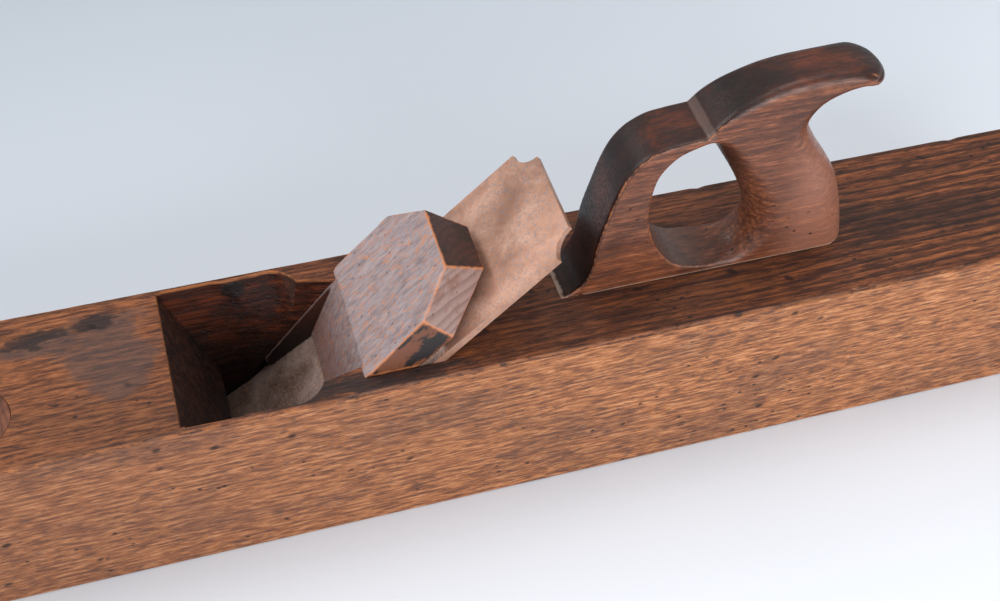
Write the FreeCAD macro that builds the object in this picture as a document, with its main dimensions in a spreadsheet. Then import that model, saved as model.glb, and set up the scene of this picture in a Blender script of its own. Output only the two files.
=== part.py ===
"""Wooden bench plane: beech stock, closed tote, strike button, wedge and double iron.

The model stands on its sole at Z = 0.  X runs along the plane, from the toe (-X) to the heel (+X),
Y runs across it, and the origin is the middle of the sole.  All sizes are millimetres and degrees.
"""
import FreeCAD, Part
import math
import os
import Sketcher
from FreeCAD import Placement, Rotation, Vector

DIMENSIONS = [
    ("stock_length", 660, "length of the stock"),
    ("stock_width", 80, "width of the stock"),
    ("stock_height", 90, "height of the stock"),
    ("arris_chamfer", 1.5, "chamfer along the two long top arrises"),
    ("sole_chamfer", 0.8, "broken edge along the two long sole arrises"),
    ("toe_length", 200, "toe to the front edge of the throat"),
    ("throat_side_room", 5.15, "throat's top wider than the iron's slot, on each side"),
    ("cheek_lean", 5.15, "lean of the cheek walls from the vertical"),
    ("breast_run", 21.5, "how far back the breast comes at its knee"),
    ("knee_height", 38, "height of the knee above the sole"),
    ("mouth_run", 8, "front of the mouth behind the throat's front edge"),
    ("bed_run", 17.7, "foot of the bed behind the throat's front edge"),
    ("bed_angle", 44, "pitch of the bed"),
    ("wedge_angle", 10, "how much steeper than the bed the abutments are"),
    ("abutment_ahead", 34.7, "top of the abutments ahead of the top of the bed"),
    ("abutment_width", 6.35, "how far the abutments' top rear corners stand over the wedge's slot"),
    ("abutment_flare", 12.9, "angle at which the abutments open towards the toe"),
    ("abutment_lean", 4.63, "lean of the abutments' inner faces from the vertical"),
    ("abutment_foot", 36, "height of the abutments' feet above the sole"),
    ("relief_run", 47, "middle of the gouged relief behind the throat's front edge"),
    ("relief_radius", 14, "radius of the gouged relief"),
    ("relief_room", 1, "reliefs' round ends outside the throat's top, on each side"),
    ("relief_facet_room", 0.6, "rear ends of the reliefs' facets outside the throat's top"),
    ("relief_drop", 26, "depth of the reliefs"),
    ("relief_lean", 17.7, "lean of the gouge that cut the reliefs"),
    ("iron_width", 62.5, "width of the cutting iron"),
    ("iron_side_gap", 0.6, "gap each side of the iron in its slot"),
    ("iron_length", 211.5, "length of the cutting iron"),
    ("iron_edge_thick", 5.6, "thickness of the cutting iron at its edge"),
    ("iron_taper", 0.8, "angle between the faces of the cutting iron"),
    ("iron_bevel", 27, "grinding angle of the cutting edge"),
    ("iron_notch", 10, "radius of the notches in the iron's top corners"),
    ("edge_lift", 0.15, "height of the cutting edge above the sole"),
    ("slot_start", 62, "start of the iron's slot above its edge"),
    ("slot_length", 66, "length of the iron's slot"),
    ("slot_width", 12, "width of the iron's slot"),
    ("cap_length", 139, "length of the cap iron"),
    ("cap_side_step", 0.25, "cutting iron wider than the cap iron, on each side"),
    ("cap_thick", 3.5, "thickness of the cap iron"),
    ("cap_setback", 1.2, "cap iron's lip behind the cutting edge"),
    ("cap_lip_thick", 0.6, "thickness of the cap iron's lip"),
    ("cap_lip_lean", 0.3, "how far the top of the lip leans over the edge"),
    ("cap_hump_run", 13, "crest of the cap iron's hump behind its lip"),
    ("cap_hump_rise", 2.4, "rise of the cap iron's hump"),
    ("cap_hump_radius", 30, "radius of the cap iron between its lip and its crest"),
    ("cap_flat_run", 34, "start of the cap iron's flat behind its lip"),
    ("cap_rear_radius", 90, "radius of the cap iron between its crest and its flat"),
    ("cap_corner", 3, "radius of the cap iron's upper corners"),
    ("screw_run", 93, "cap screw behind the cap iron's lip"),
    ("screw_radius", 4.5, "radius of the cap screw's shank"),
    ("screw_head_radius", 10, "radius of the cap screw's head"),
    ("screw_head_thick", 4, "thickness of the cap screw's head"),
    ("screw_head_chamfer", 1, "broken edge under the cap screw's head"),
    ("screw_tip_chamfer", 0.6, "broken edge round the cap screw's tip"),
    ("screw_tip_drop", 0.1, "cap screw's tip below the top of the cap iron"),
    ("screw_gap", 0.05, "radial clearance of the cap screw"),
    ("screw_seat_gap", 0.1, "gap between the screw's head and the iron"),
    ("driver_width", 1.6, "width of the screwdriver slot"),
    ("driver_depth", 1.8, "depth of the screwdriver slot"),
    ("groove_half", 12, "half width of the groove in the bed for the screw's head"),
    ("groove_depth", 6.5, "depth of the groove in the bed"),
    ("groove_start", 72, "start of the groove above the foot of the bed"),
    ("wedge_gap", 0.35, "gap between the wedge and the abutments"),
    ("wedge_back_gap", 0.1, "gap between the wedge and the cap iron"),
    ("wedge_side_gap", 0.25, "gap each side of the wedge in its slot"),
    ("wedge_shoulder_proud", 0.35, "how far the wedge's shoulders pass over the slot's sides"),
    ("wedge_shoulder_lift", 1, "gap under the wedge's shoulders"),
    ("wedge_head_taper", 3.9, "angle between the head's front and the iron"),
    ("wedge_corner_run", 36, "lower corners of the head's chamfers above the step"),
    ("wedge_corner_in", 1.1, "chamfers' lower corners in from the shoulders"),
    ("wedge_head_run", 55, "top of the head above the step"),
    ("wedge_head_in", 15.4, "corners of the head's top in from the shoulders"),
    ("wedge_head_tilt", 16, "tilt of the head's end from square"),
    ("wedge_tip_run", 50, "tips of the legs above the cutting edge"),
    ("wedge_tip_chamfer", 2, "how far the tips of the legs are blunted"),
    ("wedge_feather_run", 77, "feather edge above the cutting edge"),
    ("tote_run", 166.5, "front of the tote behind the throat's front edge"),
    ("tote_thick", 25.4, "thickness of the tote"),
    ("tote_offset", 1.4, "how far the tote stands off the middle of the stock, to the far side"),
    ("tote_length", 139.5, "length of the tote over its horn"),
    ("tote_height", 98.4, "height of the tote above the stock"),
    ("tote_grip_round", 8, "rounding of the grip's back edges"),
    ("tote_hole_round", 3, "rounding of the finger hole's edges"),
    ("mortise_inset", 11, "shoulder in front of and behind the tote's tenon"),
    ("mortise_depth", 18, "depth of the tote's mortise"),
    ("tenon_root", 1, "how far the tenon runs up inside the tote"),
    ("glue_gap", 0.1, "glue line round the tote's tenon and the button"),
    ("button_run", 78.8, "strike button ahead of the throat's front edge"),
    ("button_offset", 12, "strike button to the side of the middle line"),
    ("button_radius", 15.7, "radius of the strike button"),
    ("button_depth", 22, "length of the strike button"),
    ("button_chamfer", 0.4, "broken edge round the strike button"),
]

# Outlines of the tote and its finger hole, as shares of its length and of its height above the stock.
TOTE_FRONT = [(0, 0), (0.049, 0.025), (0.075, 0.066), (0.097, 0.147), (0.105, 0.239), (0.113, 0.32),
              (0.133, 0.437), (0.157, 0.564), (0.185, 0.661), (0.226, 0.732), (0.283, 0.775),
              (0.34, 0.788), (0.419, 0.796)]
TOTE_TOP = [(0.419, 0.796), (0.455, 0.854), (0.505, 0.904), (0.563, 0.94), (0.62, 0.971), (0.685, 0.991),
            (0.749, 1), (0.806, 0.998), (0.864, 0.986), (0.914, 0.965), (0.964, 0.93), (0.993, 0.889)]
TOTE_TIP = [(0.993, 0.889), (1, 0.854), (0.986, 0.827)]
TOTE_BACK = [(0.986, 0.827), (0.953, 0.821), (0.919, 0.822), (0.863, 0.807), (0.805, 0.765), (0.775, 0.7),
             (0.812, 0.59), (0.862, 0.481), (0.911, 0.357), (0.95, 0.19), (0.97, 0.056), (0.976, 0)]
TOTE_HOLE = [(0.487, 0.026), (0.393, 0.059), (0.328, 0.149), (0.285, 0.277), (0.265, 0.407), (0.27, 0.549),
             (0.288, 0.64), (0.33, 0.711), (0.38, 0.742), (0.43, 0.737), (0.47, 0.686), (0.509, 0.595),
             (0.548, 0.498), (0.581, 0.407), (0.609, 0.31), (0.624, 0.224), (0.62, 0.142), (0.588, 0.071),
             (0.541, 0.035)]
# Stations along a cheek's relief, from its front end to the middle of its round hollow, each as
# shares of the relief's run and of its depth.
RELIEF_STATIONS = [(0.05, 0.15), (0.5, 0.55), (1, 1)]
OVERSHOOT = 6    # how far a cutting solid stands out past the face that it cuts
TOUCHING = 1e-6    # two places this near are one place
NODES = ["stock", "tote", "strike_button", "wedge", "cutting_iron", "cap_iron", "cap_screw"]

# Places worked out from the sheet, written as expressions.
THROAT = "(Sizes.toe_length - Sizes.stock_length / 2)"
BED_FOOT = f"({THROAT} + Sizes.bed_run)"
FACE_ANGLE = "(Sizes.bed_angle - Sizes.iron_taper)"
EDGE_ALONG = "((Sizes.edge_lift - Sizes.iron_edge_thick * cos(Sizes.bed_angle)) / sin(Sizes.bed_angle))"
EDGE_X = (f"({BED_FOOT} + {EDGE_ALONG} * cos(Sizes.bed_angle)"
          " - Sizes.iron_edge_thick * sin(Sizes.bed_angle))")
SLOT_HALF = "(Sizes.iron_width / 2 + Sizes.iron_side_gap)"
THROAT_HALF = f"({SLOT_HALF} + Sizes.throat_side_room)"
ABUTMENT_ANGLE = "(Sizes.bed_angle + Sizes.wedge_angle)"
ABUTMENT_TOP = f"({BED_FOOT} + Sizes.stock_height / tan(Sizes.bed_angle) - Sizes.abutment_ahead)"
ABUTMENT_HALF = f"({SLOT_HALF} - Sizes.abutment_width)"
WEDGE_HALF = f"({SLOT_HALF} - Sizes.wedge_side_gap)"
SHOULDER_HALF = f"({SLOT_HALF} + Sizes.wedge_shoulder_proud)"
SCREW_FROM_EDGE = "(Sizes.cap_setback + Sizes.screw_run)"

doc = FreeCAD.newDocument("BenchPlane")
sizes = doc.addObject("Spreadsheet::Sheet", "Sizes")
for row, (alias, number, meaning) in enumerate(DIMENSIONS, start=1):
    sizes.set(f"A{row}", meaning)
    sizes.set(f"B{row}", str(number))
    sizes.setAlias(f"B{row}", alias)
doc.recompute()


def value(expression):
    """Return the number that an expression has now."""
    result = sizes.evalExpression(str(expression))
    return float(getattr(result, "Value", result))


def size(alias):
    """Return the number in the sheet's named cell."""
    return float(sizes.get(alias))


def new_body(name):
    """Add an empty PartDesign body."""
    return doc.addObject("PartDesign::Body", name)


def origin_plane(body, role):
    """Return the body's own origin plane with this role."""
    return [item for item in body.Origin.OriginFeatures if item.Role == role][0]


def add_sketch(body, name, role):
    """Attach a new sketch to one of the body's origin planes."""
    sketch = body.newObject("Sketcher::SketchObject", name)
    sketch.AttachmentSupport = (origin_plane(body, role), "")
    sketch.MapMode = "FlatFace"
    return sketch


def pin_point(sketch, edge, end, corner):
    """Tie one end of a sketch edge to its coordinate expressions, x first."""
    for kind, expression in zip(("DistanceX", "DistanceY"), corner):
        index = sketch.addConstraint(Sketcher.Constraint(kind, edge, end, value(expression)))
        sketch.setExpression(f"Constraints[{index}]", str(expression))


def add_loop(sketch, corners, radii=None, half_rounds=()):
    """Draw a closed outline through corners given as pairs of expressions.

    radii maps the number of an edge to the expression of its radius, positive where the arc
    runs anticlockwise.  half_rounds names the arcs that are half circles standing on a chord
    along y: their centres are tied to the chord instead.  Every corner is tied to its expressions.
    """
    radii = radii or {}
    points = [Vector(value(x), value(y), 0) for x, y in corners]
    count = len(points)
    ends = []
    for number in range(count):
        start = points[number]
        finish = points[(number + 1) % count]
        if number in radii:
            radius = value(radii[number])
            chord = finish - start
            reach = math.sqrt(max(radius * radius - chord.Length ** 2 / 4, 0))
            side = Vector(-chord.y, chord.x, 0).normalize() * math.copysign(1, radius)
            centre = (start + finish) / 2 + side * reach
            circle = Part.Circle(centre, Vector(0, 0, 1), abs(radius))
            first, last = (start, finish) if radius > 0 else (finish, start)
            angles = [math.atan2(p.y - centre.y, p.x - centre.x) for p in (first, last)]
            edge = sketch.addGeometry(Part.ArcOfCircle(circle, *angles))
            ends.append((1, 2) if radius > 0 else (2, 1))
        else:
            edge = sketch.addGeometry(Part.LineSegment(start, finish))
            ends.append((1, 2))
        assert edge == number
    for number in range(count):
        following = (number + 1) % count
        sketch.addConstraint(Sketcher.Constraint(
            "Coincident", number, ends[number][1], following, ends[following][0]))
        pin_point(sketch, number, ends[number][0], corners[number])
        if number in half_rounds:
            pin_point(sketch, number, 3, corners[number][:1])
        elif number in radii:
            index = sketch.addConstraint(
                Sketcher.Constraint("Radius", number, abs(value(radii[number]))))
            sketch.setExpression(f"Constraints[{index}]", f"abs({radii[number]})")
    return sketch


def add_pad(body, sketch, name, length, centred=False):
    """Pad a sketch by an expression, on one side or half on each side."""
    pad = body.newObject("PartDesign::Pad", name)
    pad.Profile = sketch
    pad.SideType = "Symmetric" if centred else "One side"
    pad.setExpression("Length", length)
    doc.recompute()
    return pad


def add_pocket(body, sketch, name, reverse=False, centred=True):
    """Cut a sketch through the whole body and make sure that it removed something."""
    before = body.Shape.Volume
    pocket = body.newObject("PartDesign::Pocket", name)
    pocket.Profile = sketch
    pocket.Type = "ThroughAll"
    pocket.SideType = "Symmetric" if centred else "One side"
    pocket.Reversed = reverse
    doc.recompute()
    if body.Shape.Volume >= before:
        raise RuntimeError(f"{name} removes nothing")
    return pocket


def side_prism(name, corners, half_width, radii=None):
    """Make a body whose outline lies in the XZ plane and whose width is centred on it."""
    body = new_body(name)
    sketch = add_loop(add_sketch(body, name + "_outline", "XZ_Plane"), corners, radii)
    add_pad(body, sketch, name + "_pad", f"2 * {half_width}", centred=True)
    return body


def tilt(piece, angle, x, z):
    """Turn a piece up about the Y axis by an expression and stand it at X and Z."""
    piece.Placement = Placement(Vector(0, 0, 0), Rotation(Vector(0, -1, 0), value(angle)))
    piece.setExpression("Placement.Rotation.Angle", angle)
    piece.setExpression("Placement.Base.x", x)
    piece.setExpression("Placement.Base.z", z)


def boolean(kind, name, base, tool):
    """Add a Part cut of one object by another."""
    result = doc.addObject(kind, name)
    result.Base = base
    result.Tool = tool
    doc.recompute()
    return result


def combine(kind, name, shapes):
    """Add a Part fusion or common of several objects."""
    result = doc.addObject(kind, name)
    result.Shapes = shapes
    doc.recompute()
    return result


def straight_edges(shape, height, half_width):
    """Name the long edges at this height and this distance from the middle line."""
    names = []
    for number, edge in enumerate(shape.Edges, start=1):
        box = edge.BoundBox
        flat = abs(box.ZMin - height) < TOUCHING and abs(box.ZMax - height) < TOUCHING
        beside = abs(abs(box.YMin) - half_width) < TOUCHING and box.YLength < TOUCHING
        if flat and beside:
            names.append(f"Edge{number}")
    return names


# ---- stock -------------------------------------------------------------------------------------

def make_blank():
    """The squared beech billet with its worn and broken long arrises."""
    body = new_body("stock_blank")
    half_l = "Sizes.stock_length / 2"
    half_w = "Sizes.stock_width / 2"
    corners = [(f"-{half_l}", f"-{half_w}"), (half_l, f"-{half_w}"), (half_l, half_w), (f"-{half_l}", half_w)]
    sketch = add_loop(add_sketch(body, "blank_outline", "XY_Plane"), corners)
    pad = add_pad(body, sketch, "blank_pad", "Sizes.stock_height")
    for name, height, width in (("top_arrises", size("stock_height"), "arris_chamfer"),
                                ("sole_arrises", 0, "sole_chamfer")):
        base = body.Tip
        edges = straight_edges(base.Shape, height, size("stock_width") / 2)
        chamfer = body.newObject("PartDesign::Chamfer", name)
        chamfer.Base = (base, edges)
        chamfer.setExpression("Size", f"Sizes.{width}")
        doc.recompute()
    return body


def skin(sections):
    """A solid through polygons with the same number of corners, skinned with flat triangles."""
    faces = [Part.Face(Part.makePolygon(section + section[:1])) for section in (sections[0], sections[-1])]
    for lower, upper in zip(sections, sections[1:]):
        for number in range(len(lower)):
            following = (number + 1) % len(lower)
            for corners in ((lower[number], lower[following], upper[following]),
                            (lower[number], upper[following], upper[number])):
                faces.append(Part.Face(Part.makePolygon(list(corners) + [corners[0]])))
    solid = Part.makeSolid(Part.makeShell(faces))
    if solid.Volume < 0:
        solid.reverse()
    return solid.removeSplitter()


def flaring_walls(name, levels):
    """Solid between the flaring faces of the abutments, and between walls ahead of them.

    levels holds pairs of a height and the walls' half width at that height, from the lowest up.
    """
    top = size("stock_height")
    flare = math.tan(math.radians(size("abutment_flare")))
    lean = math.tan(math.radians(size("abutment_lean")))
    abutment_top = value(ABUTMENT_TOP)
    front = value(THROAT) - OVERSHOOT
    back = abutment_top + top
    sections = []
    for level, wall in levels:
        corner = value(ABUTMENT_HALF) + lean * (level - top)
        join = abutment_top - (wall - corner) / flare
        end_half = corner - flare * (back - abutment_top)
        corners = [(front, wall), (join, wall), (back, end_half)]
        left = [Vector(x, half, level) for x, half in corners]
        right = [Vector(x, -half, level) for x, half in reversed(corners)]
        sections.append(left + right)
    feature = doc.addObject("Part::Feature", name)
    feature.Shape = skin(sections)
    return feature


def throat_walls():
    """Solid bounded by the leaning cheek walls and by the flaring faces of the abutments."""
    top = size("stock_height")
    lean = math.tan(math.radians(size("cheek_lean")))
    slot_half = value(SLOT_HALF)
    throat_half = value(THROAT_HALF)
    straight_below = top - (throat_half - slot_half) / lean
    levels = [(-OVERSHOOT, slot_half), (straight_below, slot_half),
              (top + OVERSHOOT, throat_half + lean * OVERSHOOT)]
    return flaring_walls("throat_walls", levels)


def relief(name, side):
    """The gouged relief at the top of one cheek: a long facet that ends in a round hollow."""
    throat = value(THROAT)
    top = size("stock_height")
    radius = size("relief_radius")
    angle = math.radians(size("relief_lean"))
    lean = math.tan(angle)
    throat_half = value(THROAT_HALF)
    half = throat_half + size("relief_room")
    drop = size("relief_drop")
    inner = half - 2 * radius
    sections = []
    for along, depth in RELIEF_STATIONS:
        x = throat + along * size("relief_run")
        rim = throat_half + along * size("relief_facet_room")
        foot = rim - lean * depth * depth * drop
        corners = [(inner, top + OVERSHOOT), (rim + OVERSHOOT * lean, top + OVERSHOOT),
                   (foot, top - depth * drop), (inner, top - depth * drop)]
        sections.append([Vector(x, side * y, z) for y, z in corners])
    reach = (drop + 2 * OVERSHOOT) / math.cos(angle)
    axis = Vector(0, side * lean, 1).normalize()
    rim_point = Vector(throat + size("relief_run"), side * (half - radius / math.cos(angle)), top)
    hollow = Part.makeCylinder(radius, reach + OVERSHOOT, rim_point - axis * (reach - OVERSHOOT), axis)
    feature = doc.addObject("Part::Feature", name)
    feature.Shape = skin(sections).fuse(hollow).removeSplitter()
    return feature


def make_stock():
    """The stock: billet less the throat, the wedge's slot, the mortise and the button's bore."""
    top = f"(Sizes.stock_height + {OVERSHOOT})"
    bed_x = f"({BED_FOOT} + %s / tan(Sizes.bed_angle))"
    breast = "(Sizes.breast_run / (Sizes.stock_height - Sizes.knee_height))"
    wear = "((Sizes.breast_run - Sizes.mouth_run) / Sizes.knee_height)"
    front = [(f"{THROAT} + Sizes.mouth_run - {OVERSHOOT} * {wear}", f"-{OVERSHOOT}"),
             (bed_x % f"(-{OVERSHOOT})", f"-{OVERSHOOT}"),
             (bed_x % top, top),
             (f"{THROAT} - {OVERSHOOT} * {breast}", top),
             (f"{THROAT} + Sizes.breast_run", "Sizes.knee_height")]
    throat_side = side_prism("throat_side", front, f"({THROAT_HALF} + {OVERSHOOT})")
    throat = combine("Part::MultiCommon", "throat_void", [throat_side, throat_walls()])

    abutment_x = f"({ABUTMENT_TOP} + (%s - Sizes.stock_height) / tan({ABUTMENT_ANGLE}))"
    foot_front = f"{THROAT} + Sizes.mouth_run + Sizes.abutment_foot * {wear}"
    slot = [(f"{THROAT} + Sizes.mouth_run - {OVERSHOOT} * {wear}", f"-{OVERSHOOT}"),
            (bed_x % f"(-{OVERSHOOT})", f"-{OVERSHOOT}"),
            (bed_x % top, top),
            (abutment_x % top, top),
            (abutment_x % "Sizes.abutment_foot", "Sizes.abutment_foot"),
            (foot_front, "Sizes.abutment_foot")]
    wedge_slot = side_prism("wedge_slot", slot, SLOT_HALF)

    groove = doc.addObject("Part::Box", "screw_groove")
    groove.setExpression("Length", f"Sizes.stock_height / sin(Sizes.bed_angle) + 2 * {OVERSHOOT}"
                                   " - Sizes.groove_start")
    groove.setExpression("Width", "2 * Sizes.groove_half")
    groove.setExpression("Height", f"Sizes.groove_depth + {OVERSHOOT}")
    groove.Placement = Placement(Vector(0, 0, 0), Rotation(Vector(0, -1, 0), value("Sizes.bed_angle")))
    groove.setExpression("Placement.Rotation.Angle", "Sizes.bed_angle")
    groove.setExpression("Placement.Base.x", f"{BED_FOOT} + Sizes.groove_start * cos(Sizes.bed_angle)"
                                             " + Sizes.groove_depth * sin(Sizes.bed_angle)")
    groove.setExpression("Placement.Base.y", "-Sizes.groove_half")
    groove.setExpression("Placement.Base.z", "Sizes.groove_start * sin(Sizes.bed_angle)"
                                             " - Sizes.groove_depth * cos(Sizes.bed_angle)")

    mortise = doc.addObject("Part::Box", "tote_mortise")
    mortise.setExpression("Length", "Sizes.tote_length - 2 * Sizes.mortise_inset + 2 * Sizes.glue_gap")
    mortise.setExpression("Width", "Sizes.tote_thick + 2 * Sizes.glue_gap")
    mortise.setExpression("Height", f"Sizes.mortise_depth + {OVERSHOOT}")
    mortise.setExpression("Placement.Base.x",
                          f"{THROAT} + Sizes.tote_run + Sizes.mortise_inset - Sizes.glue_gap")
    mortise.setExpression("Placement.Base.y", "Sizes.tote_offset - Sizes.tote_thick / 2 - Sizes.glue_gap")
    mortise.setExpression("Placement.Base.z", "Sizes.stock_height - Sizes.mortise_depth")

    bore = doc.addObject("Part::Cylinder", "button_bore")
    bore.setExpression("Radius", "Sizes.button_radius + Sizes.glue_gap")
    bore.setExpression("Height", f"Sizes.button_depth + {OVERSHOOT}")
    bore.setExpression("Placement.Base.x", f"{THROAT} - Sizes.button_run")
    bore.setExpression("Placement.Base.y", "-Sizes.button_offset")
    bore.setExpression("Placement.Base.z", "Sizes.stock_height - Sizes.button_depth")

    cuts = [throat, wedge_slot, relief("near_relief", -1), relief("far_relief", 1), groove, mortise, bore]
    stock = boolean("Part::Cut", "stock", make_blank(), combine("Part::MultiFuse", "stock_cuts", cuts))
    stock.Refine = True
    doc.recompute()
    return stock


# ---- tote and strike button --------------------------------------------------------------------

def tote_curve(shares, closed=False):
    """A smooth curve through outline points, in the tote's middle plane."""
    length = size("tote_length")
    height = size("tote_height")
    points = [Vector(length * x, 0, height * z) for x, z in shares]
    curve = Part.BSplineCurve()
    curve.interpolate(Points=points, PeriodicFlag=closed)
    return curve.toShape()


def make_tote():
    """The closed tote: a sawn board with a finger hole, a rounded grip and a tenon."""
    thick = size("tote_thick")
    across = Vector(0, thick, 0)
    length = size("tote_length")
    outline = [tote_curve(part) for part in (TOTE_FRONT, TOTE_TOP, TOTE_TIP, TOTE_BACK)]
    base_end = Vector(length * TOTE_BACK[-1][0], 0, 0)
    outline.append(Part.makeLine(base_end, Vector(0, 0, 0)))
    board = Part.Face(Part.Wire(outline)).extrude(across)
    hole_edge = tote_curve(TOTE_HOLE, closed=True)
    hole = Part.Face(Part.Wire([hole_edge])).extrude(across)
    board.translate(-across / 2)
    hole.translate(-across / 2)
    handle = board.cut(hole)
    for curve, rounding in ((hole_edge, "tote_hole_round"), (outline[3], "tote_grip_round")):
        edges = [edge for edge in handle.Edges if abs(edge.Length - curve.Length) < 0.01]
        handle = handle.makeFillet(size(rounding), edges)
    inset = size("mortise_inset")
    depth = size("mortise_depth") - size("glue_gap")
    tenon = Part.makeBox(length - 2 * inset, thick, depth + size("tenon_root"),
                         Vector(inset, -thick / 2, -depth))
    tote = doc.addObject("Part::Feature", "tote")
    tote.Shape = handle.fuse(tenon).removeSplitter()
    tote.setExpression("Placement.Base.x", f"{THROAT} + Sizes.tote_run")
    tote.setExpression("Placement.Base.y", "Sizes.tote_offset")
    tote.setExpression("Placement.Base.z", "Sizes.stock_height")
    doc.recompute()
    return tote


def make_button():
    """The strike button: a round end-grain plug let in flush with the top of the toe."""
    body = new_body("strike_button")
    radius = "Sizes.button_radius"
    chamfer = "Sizes.button_chamfer"
    depth = "-Sizes.button_depth + Sizes.glue_gap"
    corners = [("0", depth), (radius, depth), (radius, f"-{chamfer}"),
               (f"{radius} - {chamfer}", "0"), ("0", "0")]
    sketch = add_loop(add_sketch(body, "button_outline", "XZ_Plane"), corners)
    turned = body.newObject("PartDesign::Revolution", "button_turned")
    turned.Profile = sketch
    turned.ReferenceAxis = (sketch, ["V_Axis"])
    turned.Angle = 360
    body.setExpression("Placement.Base.x", f"{THROAT} - Sizes.button_run")
    body.setExpression("Placement.Base.y", "-Sizes.button_offset")
    body.setExpression("Placement.Base.z", "Sizes.stock_height")
    doc.recompute()
    return body


# ---- double iron -------------------------------------------------------------------------------

def make_cutting_iron():
    """The tapered cutting iron, built flat with its back on XY and its edge at the origin end."""
    body = new_body("cutting_iron")
    half = "Sizes.iron_width / 2"
    length = "Sizes.iron_length"
    notch = "Sizes.iron_notch"
    corners = [("0", f"-{half}"), (f"{length} - {notch}", f"-{half}"), (length, f"-{half} + {notch}"),
               (length, f"{half} - {notch}"), (f"{length} - {notch}", half), ("0", half)]
    notches = {1: f"-{notch}", 3: f"-{notch}"}
    outline = add_loop(add_sketch(body, "iron_outline", "XY_Plane"), corners, notches)
    add_pad(body, outline, "iron_pad", "Sizes.iron_edge_thick")

    thick = "Sizes.iron_edge_thick"
    past = f"({length} + {OVERSHOOT})"
    above = f"({thick} + {OVERSHOOT})"
    taper = [("0", thick), (past, f"{thick} - {past} * tan(Sizes.iron_taper)"), (past, above), ("0", above)]
    add_pocket(body, add_loop(add_sketch(body, "taper_outline", "XZ_Plane"), taper), "iron_taper")

    ground = "(Sizes.iron_bevel + Sizes.iron_taper)"
    bevel_run = f"({thick} / tan({ground}))"
    bevel = [("0", thick), (f"-{OVERSHOOT}", thick), (f"-{OVERSHOOT}", f"-{OVERSHOOT}"),
             (f"{bevel_run} + {OVERSHOOT} / tan({ground})", f"-{OVERSHOOT}")]
    add_pocket(body, add_loop(add_sketch(body, "bevel_outline", "XZ_Plane"), bevel), "iron_bevel")

    start = "Sizes.slot_start + Sizes.slot_width / 2"
    finish = "Sizes.slot_start + Sizes.slot_length - Sizes.slot_width / 2"
    side = "Sizes.slot_width / 2"
    slot = [(start, f"-{side}"), (finish, f"-{side}"), (finish, side), (start, side)]
    ends = {1: side, 3: side}
    slot_sketch = add_sketch(body, "slot_outline", "XY_Plane")
    add_pocket(body, add_loop(slot_sketch, slot, ends, half_rounds=ends), "iron_slot")
    tilt(body, "Sizes.bed_angle", f"{BED_FOOT} + {EDGE_ALONG} * cos(Sizes.bed_angle)",
         f"{EDGE_ALONG} * sin(Sizes.bed_angle)")
    return body


def make_cap_iron():
    """The cap iron: a plate humped over its lip, lying on the face of the cutting iron."""
    body = new_body("cap_iron")
    lip = "Sizes.cap_setback"
    crest = f"({lip} + Sizes.cap_hump_run)"
    flat = f"({lip} + Sizes.cap_flat_run)"
    end = f"({lip} + Sizes.cap_length)"
    thick = "Sizes.cap_thick"
    rise = "Sizes.cap_hump_rise"
    hump = "Sizes.cap_hump_radius"
    rear = "Sizes.cap_rear_radius"
    corners = [(lip, "0"), (crest, rise), (flat, "0"), (end, "0"), (end, thick), (flat, thick),
               (crest, f"{rise} + {thick}"), (f"{lip} - Sizes.cap_lip_lean", "Sizes.cap_lip_thick")]
    arcs = {0: f"-{hump}", 1: f"-{rear}", 5: rear, 6: hump}
    profile = add_loop(add_sketch(body, "cap_profile", "XZ_Plane"), corners, arcs)
    pad = add_pad(body, profile, "cap_pad", "Sizes.iron_width - 2 * Sizes.cap_side_step", centred=True)
    upper = [f"Edge{number}" for number, edge in enumerate(pad.Shape.Edges, start=1)
             if edge.BoundBox.XMin > value(end) - TOUCHING and edge.BoundBox.YLength < TOUCHING]
    fillet = body.newObject("PartDesign::Fillet", "cap_corners")
    fillet.Base = (pad, upper)
    fillet.setExpression("Radius", "Sizes.cap_corner")
    doc.recompute()
    threaded = add_sketch(body, "cap_hole", "XY_Plane")
    radius = "Sizes.screw_radius + Sizes.screw_gap"
    centre = Vector(value(SCREW_FROM_EDGE), 0, 0)
    circle = threaded.addGeometry(Part.Circle(centre, Vector(0, 0, 1), value(radius)))
    pin_point(threaded, circle, 3, (SCREW_FROM_EDGE, "0"))
    index = threaded.addConstraint(Sketcher.Constraint("Radius", circle, value(radius)))
    threaded.setExpression(f"Constraints[{index}]", radius)
    add_pocket(body, threaded, "cap_thread")
    tilt(body, FACE_ANGLE, EDGE_X, "Sizes.edge_lift")
    return body


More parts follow.
